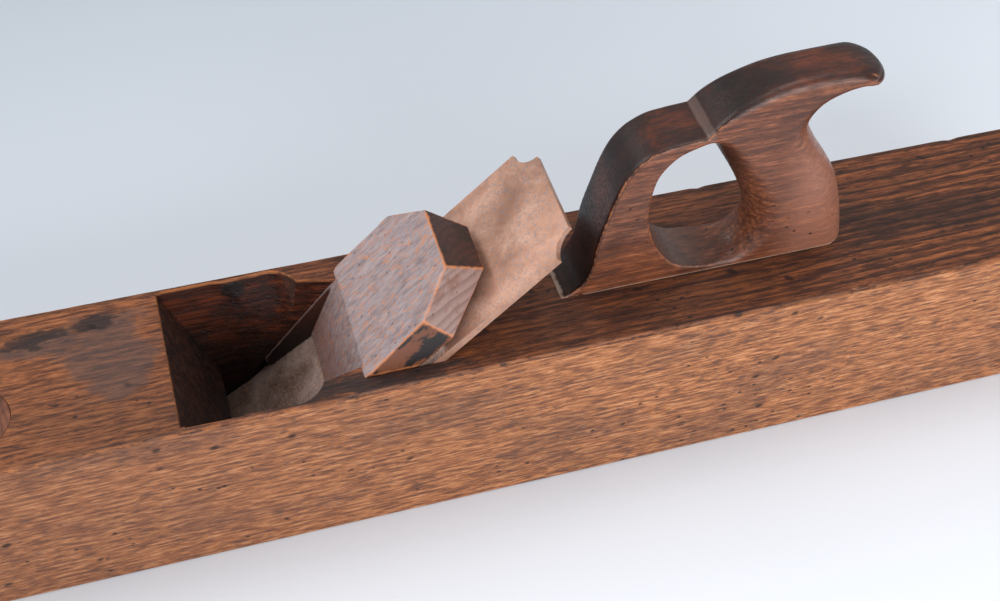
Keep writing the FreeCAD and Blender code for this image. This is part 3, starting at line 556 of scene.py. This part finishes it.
def beech_figure(finish, grain, heart=(90, 10), ring=4.2, sway=26):
    """Streaks, fibres, growth rings and ray flecks of beech, each as a value from 0 to 1."""
    drift = finish.cloud(grain, (0.0045, 0.02, 0.02), 2, 0.5)
    streaks = finish.cloud(grain, (0.011, 0.42, 0.42), 5, 0.66, 0.4)
    fibres = finish.cloud(grain, (0.09, 2.6, 2.6), 2, 0.6)
    wander = finish.sums("MULTIPLY", finish.sums("SUBTRACT", drift, 0.5), sway)
    along, across, up = finish.axes(grain)
    side = finish.sums("ADD", finish.sums("SUBTRACT", across, heart[0]), wander)
    rise = finish.sums("ADD", finish.sums("SUBTRACT", up, heart[1]), finish.sums("MULTIPLY", wander, 0.7))
    away = finish.sums("SQRT", finish.sums("ADD", finish.sums("MULTIPLY", side, side),
                                           finish.sums("MULTIPLY", rise, rise)))
    phase = finish.sums("FRACT", finish.sums("DIVIDE", away, ring))
    rings = finish.sums("MULTIPLY", finish.between(phase, 0.25, 0.93),
                        finish.between(phase, 1.0, 0.94))
    flecks = finish.between(finish.cloud(grain, (0.16, 1.15, 1.15), 2, 0.5), 0.53, 0.63)
    scatter = finish.cloud(grain, (0.02, 0.06, 0.06), 3, 0.55)
    rays = finish.sums("MULTIPLY", flecks, finish.between(scatter, 0.36, 0.6, 0.35, 1.0))
    return streaks, fibres, rings, rays


def stock_finish():
    """Old beech: dark handled top, lighter flecked sides, worn arrises, near-black throat."""
    finish = Finish("oiled_beech_stock", 0.5, specular=0.3)
    grain = finish.grain()
    streaks, fibres, rings, rays = beech_figure(finish, grain, sway=90)
    along, across, up = finish.axes(grain)
    face_x, face_y, face_z = finish.facing()
    blotches = finish.cloud(grain, (0.012, 0.03, 0.03), 5, 0.62)
    mottle = finish.cloud(grain, (0.06, 0.2, 0.2), 4, 0.65)

    weave = finish.cloud(grain, (0.075, 0.6, 0.6), 4, 0.72, 0.3)
    # Sides: warm, flecked with grey all over and darker towards the toe.
    side_tone = finish.shades(weave, [(0.36, tone(96, 64, 50)), (0.46, tone(146, 90, 56)),
                                      (0.55, tone(186, 120, 74)), (0.66, tone(212, 150, 104))])
    side_tone = finish.blend(finish.between(streaks, 0.5, 0.3, 0.0, 0.4), side_tone, tone(124, 78, 56))
    side_tone = finish.blend(finish.sums("MULTIPLY", rays, 0.72), side_tone, tone(84, 62, 56))
    side_tone = finish.blend(finish.between(blotches, 0.5, 0.66, 0.0, 0.4), side_tone, tone(84, 58, 50))
    side_tone = finish.blend(finish.between(along, 150, -240, 0.05, 0.4), side_tone, tone(92, 56, 42))
    # Top: dark with oil and handling, over growth rings that swing widely behind the tote.
    top_tone = finish.shades(streaks, [(0.3, tone(64, 31, 18)), (0.48, tone(110, 59, 32)),
                                       (0.6, tone(138, 77, 42)), (0.76, tone(164, 97, 56))])
    top_tone = finish.blend(finish.between(weave, 0.52, 0.4, 0.0, 0.7), top_tone, tone(26, 17, 16))
    top_tone = finish.blend(finish.between(weave, 0.54, 0.66, 0.0, 0.45), top_tone, tone(172, 104, 62))
    top_tone = finish.blend(finish.sums("MULTIPLY", rings, finish.between(along, 40, 180, 0.4, 0.8)),
                            top_tone, tone(46, 24, 16))
    top_tone = finish.blend(finish.between(blotches, 0.5, 0.62, 0.0, 0.62), top_tone, tone(38, 22, 18))
    handled = finish.patch(grain, (70, 0, 90), (110, 60, 30), 0.5)
    top_tone = finish.blend(finish.sums("MULTIPLY", handled, 0.3), top_tone, tone(52, 28, 20))
    stained = finish.sums("MAXIMUM", finish.patch(grain, (-152, 8, 90), (24, 27, 30), 1.0),
                          finish.patch(grain, (-176, 20, 90), (22, 10, 30), 1.0))
    toe = finish.between(along, -110, -150, 0.0, 0.5)
    top_tone = finish.blend(toe, top_tone, finish.shades(weave,
                                                         [(0.38, tone(84, 48, 32)), (0.5, tone(134, 80, 48)),
                                                                 (0.62, tone(170, 108, 66))]))
    top_tone = finish.blend(finish.sums("MULTIPLY", stained, 0.6), top_tone, tone(72, 60, 58))
    black = finish.sums("MAXIMUM", finish.patch(grain, (-181, 24, 90), (17, 6, 30), 1.3, (0.1, 0.2, 0.2)),
                        finish.patch(grain, (-156, 27, 90), (12, 5, 30), 1.3, (0.1, 0.2, 0.2)))
    black = finish.sums("MAXIMUM", black, finish.patch(grain, (-52, -34, 90), (52, 7, 30), 1.2,
                                                       (0.06, 0.2, 0.2)))
    top_tone = finish.blend(finish.sums("MULTIPLY", black, 0.8), top_tone, tone(28, 23, 24))
    lit = finish.between(face_z, 0.35, 0.8)
    colour = finish.blend(lit, side_tone, top_tone)

    # End grain.
    ends = finish.between(finish.sums("ABSOLUTE", face_x), 0.7, 0.9)
    end_tone = finish.shades(rings, [(0.0, tone(128, 80, 56)), (1.0, tone(66, 36, 26))])
    end_tone = finish.blend(finish.between(mottle, 0.45, 0.65, 0.0, 0.5), end_tone, tone(60, 36, 28))
    outside = finish.sums("GREATER_THAN", finish.sums("ABSOLUTE", along), 320)
    colour = finish.blend(finish.sums("MULTIPLY", ends, outside), colour, end_tone)

    # Worn arrises.
    edge_y = finish.sums("SUBTRACT", 40, finish.sums("ABSOLUTE", across))
    edge_z = finish.sums("SUBTRACT", 90, up)
    patch = finish.cloud(grain, (0.12, 0.5, 0.5), 5, 0.68)
    reach = finish.between(patch, 0.36, 0.7, 0.3, 3.4)
    worn = finish.sums("MULTIPLY", finish.between(edge_y, 1.5, 0.7),
                       finish.between(finish.sums("DIVIDE", edge_z, reach), 1.2, 0.6))
    colour = finish.blend(finish.sums("MULTIPLY", worn, 0.6), colour, tone(170, 104, 58))
    grime = finish.sums("MULTIPLY", finish.between(finish.sums("ADD", edge_y,
                                                               finish.sums("MULTIPLY", mottle, 3)),
                                                   5.6, 2.6),
                        finish.sums("MULTIPLY", lit, finish.between(mottle, 0.42, 0.6)))
    colour = finish.blend(finish.sums("MULTIPLY", grime, 0.45), colour, tone(40, 22, 17))

    # The throat and the mortise, dark and sooty, with painted shade that deepens downwards and lies on the
    # breast, painted light on the walls that face the toe, and at the mouth's rim a lighter band that is
    # partly wear and partly a painted highlight.
    inside = finish.sums("MULTIPLY", finish.sums("LESS_THAN", finish.sums("ABSOLUTE", across), THROAT_HALF),
                         finish.sums("MULTIPLY", finish.between(up, 89.7, 88.2),
                                     finish.sums("GREATER_THAN", up, 0.4)))
    throat_tone = finish.shades(streaks, [(0.3, tone(24, 8, 4)), (0.5, tone(60, 24, 11)),
                                          (0.7, tone(108, 48, 22))])
    # Painted shade: darker the deeper into the throat.
    throat_tone = finish.blend(finish.between(up, 80, 38, 0.0, 0.8), throat_tone, tone(18, 11, 10))
    # Painted light on the walls that face the toe, and painted shade on the breast, which faces the heel.
    shaded_breast = finish.between(face_x, 0.4, 0.7)
    throat_tone = finish.blend(finish.between(face_x, -0.4, -0.7, 0.0, 0.55), throat_tone, tone(70, 52, 46))
    throat_tone = finish.blend(finish.sums("MULTIPLY", shaded_breast, 0.8), throat_tone,
                               finish.blend(finish.between(mottle, 0.4, 0.6), tone(26, 18, 17),
                                            tone(54, 32, 24)))
    knot = finish.patch(grain, (-97, 36, 84), (7, 12, 5), 0.5, (0.15, 0.15, 0.15))
    throat_tone = finish.blend(finish.sums("MULTIPLY", knot, 0.9), throat_tone, tone(16, 11, 11))
    soot = finish.between(finish.cloud(grain, (0.05, 0.05, 0.05), 4, 0.6), 0.5, 0.62, 0.0, 0.6)
    throat_tone = finish.blend(soot, throat_tone, tone(24, 16, 15))
    colour = finish.blend(inside, colour, throat_tone)
    # Lighter band at the mouth's rim: partly worn wood, partly a painted highlight, kept off the walls that
    # face along the plane.
    rim = finish.sums("MULTIPLY", finish.sums("LESS_THAN", finish.sums("ABSOLUTE", across), THROAT_HALF),
                      finish.sums("MULTIPLY", finish.between(up, 88.0, 89.2),
                                  finish.between(face_z, 0.9, 0.5)))
    rim = finish.sums("MULTIPLY", rim, finish.sums("SUBTRACT", 1,
                                                   finish.between(finish.sums("ABSOLUTE", face_x),
                                                                                  0.5, 0.8, 0.0, 0.85)))
    colour = finish.blend(finish.sums("MULTIPLY", rim, finish.between(mottle, 0.4, 0.6, 0.1, 0.7)),
                          colour, tone(182, 112, 66))

    # Dents, pits, specks and scratches.
    specks = finish.between(finish.cells(grain, (0.11, 0.16, 0.16)), 0.15, 0.07)
    pits = finish.sums("MULTIPLY", specks, finish.between(finish.cloud(grain, (0.02, 0.02, 0.02), 2), 0.44,
                                                          0.56))
    dents = finish.between(finish.cells(finish.place(grain, turn=(0, 0.35, 0.5)), (0.035, 0.07, 0.07)), 0.13,
                           0.05)
    pits = finish.sums("MAXIMUM", pits, finish.sums("MULTIPLY", dents, finish.between(mottle, 0.35, 0.5)))
    colour = finish.blend(finish.sums("MULTIPLY", pits, 0.85), colour, tone(30, 17, 14))
    scratch = finish.sums("MAXIMUM", finish.line(grain, (0.1, 0.55, 0.2), (0.022, 0.6, 0.6)),
                          finish.line(grain, (0.2, -0.9, 0.7), (0.03, 0.7, 0.7), 0.04))
    scratch = finish.sums("MULTIPLY", scratch, finish.between(mottle, 0.42, 0.56))
    colour = finish.blend(finish.sums("MULTIPLY", scratch, 0.6), colour, tone(52, 28, 20))

    height = finish.sums("SUBTRACT", finish.sums("MULTIPLY", fibres, 0.5), finish.sums("MULTIPLY", rays, 0.6))
    height = finish.sums("SUBTRACT", height, finish.sums("ADD", pits, scratch))
    normal = finish.relief(height, 0.2 * MM)
    rough = finish.between(weave, 0.4, 0.6, 0.62, 0.44)
    return finish.close(colour, rough, normal)


def tote_finish():
    """The tote's beech: black with handling on its front, with a warm highlight painted on the grip."""
    finish = Finish("handled_beech_tote", 0.4, specular=0.4)
    grain = finish.grain(shift=(13, 31, -9))
    streaks, fibres, rings, rays = beech_figure(finish, grain, heart=(150, -60), ring=3.6)
    real = finish.grain()
    along, across, up = finish.axes(real)
    blotches = finish.cloud(grain, (0.03, 0.05, 0.05), 5, 0.62)
    mottle = finish.cloud(grain, (0.12, 0.2, 0.12), 4, 0.65)
    face_x, face_y, face_z = finish.facing()
    weave = finish.cloud(grain, (0.09, 0.7, 0.7), 4, 0.72, 0.3)
    colour = finish.shades(streaks, [(0.3, tone(74, 38, 24)), (0.5, tone(120, 68, 44)),
                                     (0.7, tone(150, 90, 62))])
    colour = finish.blend(finish.between(weave, 0.52, 0.4, 0.0, 0.55), colour, tone(66, 44, 40))
    colour = finish.blend(finish.between(weave, 0.54, 0.66, 0.0, 0.5), colour, tone(176, 110, 74))
    colour = finish.blend(finish.sums("MULTIPLY", rays, 0.5), colour, tone(62, 36, 28))
    colour = finish.blend(finish.sums("MULTIPLY", rings, 0.3), colour, tone(72, 38, 27))
    colour = finish.blend(finish.between(blotches, 0.48, 0.66, 0.0, 0.6), colour, tone(58, 32, 24))
    # Painted highlight on the grip where the palm rests.
    palm_highlight = finish.sums("MULTIPLY", finish.between(along, 128, 150), finish.between(up, 172, 158))
    colour = finish.blend(finish.sums("MULTIPLY", palm_highlight, 0.35), colour, tone(186, 128, 106))
    scoop = finish.sums("MULTIPLY", finish.between(along, 124, 108), finish.between(face_x, -0.15, -0.6))
    colour = finish.blend(finish.sums("MULTIPLY", scoop, 0.75), colour, tone(44, 20, 12))
    flank = finish.between(finish.sums("ABSOLUTE", face_y), 0.72, 0.93)
    handled = finish.sums("MULTIPLY", finish.stored("handled"), finish.sums("SUBTRACT", 1, flank))
    dark = finish.shades(blotches, [(0.36, tone(18, 7, 5)), (0.5, tone(50, 22, 13)),
                                    (0.64, tone(98, 46, 26))])
    dark = finish.blend(finish.between(weave, 0.52, 0.42, 0.0, 0.5), dark, tone(20, 14, 14))
    dark = finish.blend(finish.between(along, 86, 60, 0.0, 0.4), dark, tone(22, 13, 12))
    dark = finish.blend(finish.sums("MULTIPLY", rays, 0.4), dark, tone(20, 12, 10))
    across_cuts = finish.line(real, (0, -0.3, 1.35), (0.04, 0.5, 0.5), 0.045)
    dark = finish.blend(finish.sums("MULTIPLY", across_cuts, 0.75), dark, tone(168, 96, 60))
    colour = finish.blend(finish.sums("MULTIPLY", handled, 0.92), colour, dark)
    # A greyish painted highlight along the ridge where the front meets the horn's top.
    ridge = finish.patch(real, (RIDGE.x / MM + 1.2, 0, RIDGE.z / MM + 1), (2.2, 1000, 4), 0.3)
    colour = finish.blend(finish.sums("MULTIPLY", ridge, 0.45), colour, tone(120, 96, 88))

    # Inside the finger hole's lower front, grey with dust.
    hollow = finish.sums("MULTIPLY", finish.between(along, 112, 88), finish.between(up, 112, 96))
    hollow = finish.sums("MULTIPLY", hollow, finish.sums("MULTIPLY", finish.sums("SUBTRACT", 1, flank),
                                                         finish.sums("SUBTRACT", 1,
                                                                     finish.stored("handled"))))
    colour = finish.blend(finish.sums("MULTIPLY", hollow, 0.7), colour, tone(82, 70, 66))

    # Worn arrises and dents along the horn's near edge.
    patch = finish.cloud(grain, (0.2, 0.4, 0.2), 5, 0.68)
    worn = finish.between(finish.sums("ADD", finish.stored("arris"), finish.sums("MULTIPLY", patch, 3.4)),
                          2.4, 1.5)
    colour = finish.blend(finish.sums("MULTIPLY", worn, 0.62), colour, tone(176, 110, 72))
    specks = finish.between(finish.cells(grain, (0.13, 0.2, 0.2)), 0.15, 0.07)
    pits = finish.sums("MULTIPLY", specks, finish.between(blotches, 0.42, 0.56))
    colour = finish.blend(finish.sums("MULTIPLY", pits, 0.85), colour, tone(26, 15, 13))
    dust = finish.between(finish.sums("ADD", up, finish.sums("MULTIPLY", mottle, 1.6)), 91.5, 91.0, 0.0, 0.55)
    colour = finish.blend(dust, colour, tone(176, 150, 132))
    height = finish.sums("SUBTRACT", finish.sums("MULTIPLY", fibres, 0.25),
                         finish.sums("MULTIPLY", rays, 0.35))
    height = finish.sums("SUBTRACT", height, finish.sums("ADD", pits,
                                                         finish.sums("MULTIPLY", across_cuts, 0.5)))
    normal = finish.relief(height, 0.1 * MM)
    rough = finish.between(weave, 0.4, 0.6, 0.44, 0.28)
    return finish.close(colour, rough, normal)


def wedge_finish():
    """The wedge's beech: a flat front painted grey-blue as the sheen of cool light, orange worn arrises, dark
    end grain deepened by painted shade.
    """
    finish = Finish("beech_wedge_painted_sheen", 0.5, specular=0.5)
    grain = finish.grain(turn=(0, IRON_PITCH, 0), shift=(5, 0, 17))
    streaks, fibres, rings, rays = beech_figure(finish, grain, heart=(-70, 60), ring=3.4)
    face_x, face_y, face_z = finish.facing()
    mottle = finish.cloud(grain, (0.06, 0.1, 0.1), 5, 0.65)
    speckle = finish.cloud(grain, (0.22, 0.5, 0.5), 5, 0.7, 1.5)

    # The front, grey-blue as painted sheen, then the head's end grain, partly painted shade, and the sides,
    # with painted shade lower down.
    weave = finish.cloud(grain, (0.12, 0.55, 0.55), 5, 0.72, 0.6)
    colour = finish.shades(weave, [(0.36, tone(128, 114, 116)), (0.5, tone(156, 140, 142)),
                                   (0.64, tone(176, 156, 154))])
    colour = finish.blend(finish.between(streaks, 0.5, 0.34, 0.0, 0.3), colour, tone(132, 112, 110))
    colour = finish.blend(finish.between(speckle, 0.535, 0.6, 0.0, 0.75), colour, tone(200, 132, 92))
    colour = finish.blend(finish.between(mottle, 0.54, 0.68, 0.0, 0.35), colour, tone(120, 88, 76))
    # Below the front's lower line the thin end is browner and darkens downwards: painted shade inside the
    # throat.
    along, across, up = finish.axes(finish.here)
    thin_end = finish.between(up, 0.0915, 0.0885)
    colour = finish.blend(finish.sums("MULTIPLY", thin_end, finish.between(up, 0.09, 0.06, 0.05, 0.6)),
                          colour, tone(112, 66, 48))
    # End grain of the head: darker wood, darkened further as painted shade.
    head = finish.sums("ADD", finish.sums("MULTIPLY", face_x, math.cos(IRON_PITCH)),
                       finish.sums("MULTIPLY", face_z, math.sin(IRON_PITCH)))
    end_grain = finish.blend(finish.sums("MULTIPLY", rings, 0.5), tone(66, 36, 27), tone(34, 20, 17))
    end_grain = finish.blend(finish.between(mottle, 0.46, 0.6, 0.0, 0.7), end_grain, tone(30, 20, 19))
    colour = finish.blend(finish.between(head, 0.4, 0.6), colour, end_grain)
    end_chamfer = finish.sums("MULTIPLY", finish.between(head, 0.3, 0.45), finish.between(face_y, -0.3, -0.5))
    ringed = finish.blend(finish.sums("MULTIPLY", rings, 0.5), tone(150, 122, 114), tone(96, 72, 64))
    ringed = finish.blend(finish.between(mottle, 0.5, 0.62, 0.0, 0.6), ringed, tone(118, 76, 58))
    colour = finish.blend(end_chamfer, colour, ringed)
    flank = finish.sums("MULTIPLY", finish.between(finish.sums("ABSOLUTE", face_y), 0.6, 0.9),
                        finish.between(head, 0.4, 0.2))
    flank_tone = finish.blend(finish.between(mottle, 0.46, 0.54), tone(110, 64, 42), tone(30, 22, 22))
    # Below the stock's top the sides darken downwards: painted shade inside the throat.
    flank_tone = finish.blend(finish.between(up, 0.0925, 0.0905), flank_tone,
                              finish.blend(finish.between(up, 0.085, 0.045), tone(66, 33, 20),
                                           tone(22, 13, 11)))
    colour = finish.blend(flank, colour, flank_tone)

    patch = finish.cloud(grain, (0.14, 0.3, 0.3), 5, 0.68)
    worn = finish.between(finish.sums("ADD", finish.stored("arris"), finish.sums("MULTIPLY", patch, 2.6)),
                          2.4, 1.4)
    colour = finish.blend(finish.sums("MULTIPLY", worn, finish.between(up, 0.088, 0.092, 0.0, 0.75)),
                          colour, tone(200, 124, 76))
    specks = finish.between(finish.cells(grain, (0.14, 0.3, 0.3)), 0.13, 0.06)
    colour = finish.blend(finish.sums("MULTIPLY", specks, 0.7), colour, tone(54, 34, 28))
    normal = finish.relief(finish.sums("SUBTRACT", finish.sums("MULTIPLY", fibres, 0.35),
                                       finish.sums("ADD", finish.sums("MULTIPLY", rays, 0.3),
                                                   specks)), 0.1 * MM)
    return finish.close(colour, finish.between(streaks, 0.3, 0.7, 0.38, 0.52), normal)


def steel_finish(name, low, middle, high, bloom, metallic, roughness):
    """Steel under a thin patina, with fine speckle, broad clouding and light scratches."""
    finish = Finish(name, roughness, metallic=metallic)
    grain = finish.grain(turn=(0, BED_PITCH, 0))
    clouds = finish.cloud(grain, (0.05, 0.06, 0.06), 5, 0.6, 0.5)
    speckle = finish.cloud(grain, (0.8, 0.8, 0.8), 4, 0.75)
    rust = finish.cloud(grain, (0.35, 0.35, 0.35), 4, 0.7)
    colour = finish.shades(clouds, [(0.3, low), (0.5, middle), (0.72, high)])
    colour = finish.blend(finish.between(rust, 0.5, 0.64, 0.0, 0.4), colour, low)
    colour = finish.blend(finish.between(speckle, 0.52, 0.62, 0.0, 0.7), colour, bloom)
    scratches = finish.line(grain, (0, 0, 0.5), (0.05, 1.7, 1.7))
    normal = finish.relief(finish.sums("SUBTRACT", finish.sums("MULTIPLY", speckle, 0.5), scratches),
                           0.06 * MM)
    rough = finish.between(clouds, 0.3, 0.7, roughness - 0.08, roughness + 0.1)
    return finish.close(colour, rough, normal)


def button_finish():
    """End grain of the strike button: rings and fine checks, dark with oil."""
    finish = Finish("button_end_beech", 0.5, specular=0.4)
    grain = finish.grain(turn=(0, math.radians(90), 0), shift=(0, 12, 208))
    _, fibres, rings, _ = beech_figure(finish, grain, heart=(30, 20), ring=2.6)
    mottle = finish.cloud(grain, (0.15, 0.15, 0.15), 5, 0.65)
    colour = finish.shades(mottle, [(0.35, tone(84, 46, 31)), (0.65, tone(128, 76, 50))])
    colour = finish.blend(finish.sums("MULTIPLY", rings, 0.5), colour, tone(56, 30, 22))
    return finish.close(colour, None, finish.relief(fibres, 0.08 * MM))


def sheet_finish():
    """The pale sheet that the plane lies on, with painted light: lighter towards the front, darker behind."""
    finish = Finish("pale_sheet", 0.85, specular=0.2)
    along, across, up = finish.axes(finish.here)
    light_falloff = finish.sums("SUBTRACT", across, finish.sums("MULTIPLY", along, 0.25))
    # Painted light: the sheet darkens away from the front of the scene.
    colour = finish.shades(finish.between(light_falloff, 0.9, -0.35), [(0.0, tone(150, 159, 168)),
                                                             (1.0, tone(232, 236, 242))])
    return finish.close(colour)


# ---- light, camera and floor -------------------------------------------------------------------

def set_stage():
    """The floor, the soft lights and the camera."""
    bpy.ops.mesh.primitive_plane_add(size=14, location=(0, 0, 0))
    floor = bpy.context.object
    floor.name = "sheet"
    floor.data.materials.append(sheet_finish())

    world = bpy.data.worlds.new("soft_room")
    bpy.context.scene.world = world
    world.use_nodes = True
    world.node_tree.nodes["Background"].inputs["Color"].default_value = (0.93, 0.96, 1.0, 1)
    world.node_tree.nodes["Background"].inputs["Strength"].default_value = 0.6

    for name, spot, aim, wide, deep, power in (
            ("window", (-1.5, 0.5, 1.5), (0, 0, 0.05), 1.4, 1.0, 17),
            ("front_card", (0.3, -2.0, 1.0), (0, 0, 0.05), 2.0, 1.0, 34),
            ("overhead", (0.3, 0.1, 2.3), (0, 0, 0), 1.4, 1.4, 13)):
        bpy.ops.object.light_add(type="AREA", location=spot)
        lamp = bpy.context.object
        lamp.name = name
        lamp.data.shape = "RECTANGLE"
        lamp.data.size = wide
        lamp.data.size_y = deep
        lamp.data.energy = power
        lamp.rotation_euler = (Vector(aim) - Vector(spot)).to_track_quat("-Z", "Y").to_euler()

    azimuth, elevation, roll = (math.radians(angle) for angle in (-17.799, 48.216, 2.009))
    back = Vector((math.sin(azimuth) * math.cos(elevation), -math.cos(azimuth) * math.cos(elevation),
                   math.sin(elevation)))
    right = (-back).cross(Vector((0, 0, 1))).normalized()
    upward = right.cross(-back)
    right, upward = (right * math.cos(roll) + upward * math.sin(roll),
                     upward * math.cos(roll) - right * math.sin(roll))
    bpy.ops.object.camera_add()
    camera = bpy.context.object
    camera.matrix_world = (Matrix.Translation((-0.11688, -0.40566, 0.56065))
                           @ Matrix((right, upward, back)).transposed().to_4x4())
    camera.data.sensor_width = 36
    camera.data.lens = 52.967
    bpy.context.scene.camera = camera
    bpy.context.scene.view_settings.view_transform = "Standard"


# ---- putting it together -----------------------------------------------------------------------

set_stage()

stock = make_stock()
stock.data.materials.append(stock_finish())
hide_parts("stock")
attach(stock, "plane_body")

tote = make_tote()
tote.data.materials.append(tote_finish())
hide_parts("tote")
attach(tote, "plane_body")

button = make_button()
button.data.materials.append(button_finish())
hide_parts("strike_button")
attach(button, "plane_body")

wedge = make_wedge()
wedge.data.materials.append(wedge_finish())
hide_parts("wedge")
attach(wedge, "wedge")

iron = make_iron("cutting_iron", "tapered_iron", 0.25 * MM)
iron.data.materials.append(steel_finish("rusted_iron", tone(150, 106, 84), tone(182, 136, 112),
                                        tone(204, 162, 140),
                                        tone(128, 126, 134), 0.35, 0.42))
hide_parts("cutting_iron")
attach(iron, "iron")

cap = make_iron("cap_iron", "humped_cap_iron", 0.2 * MM)
dark_steel = steel_finish("dark_cap_steel", tone(84, 64, 56), tone(124, 102, 94), tone(156, 134, 124),
                          tone(170, 128, 96), 0.25, 0.45)
cap.data.materials.append(dark_steel)
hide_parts("cap_iron")
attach(cap, "cap")

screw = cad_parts["cap_screw"]
screw.data.materials.clear()
screw.data.materials.append(dark_steel)
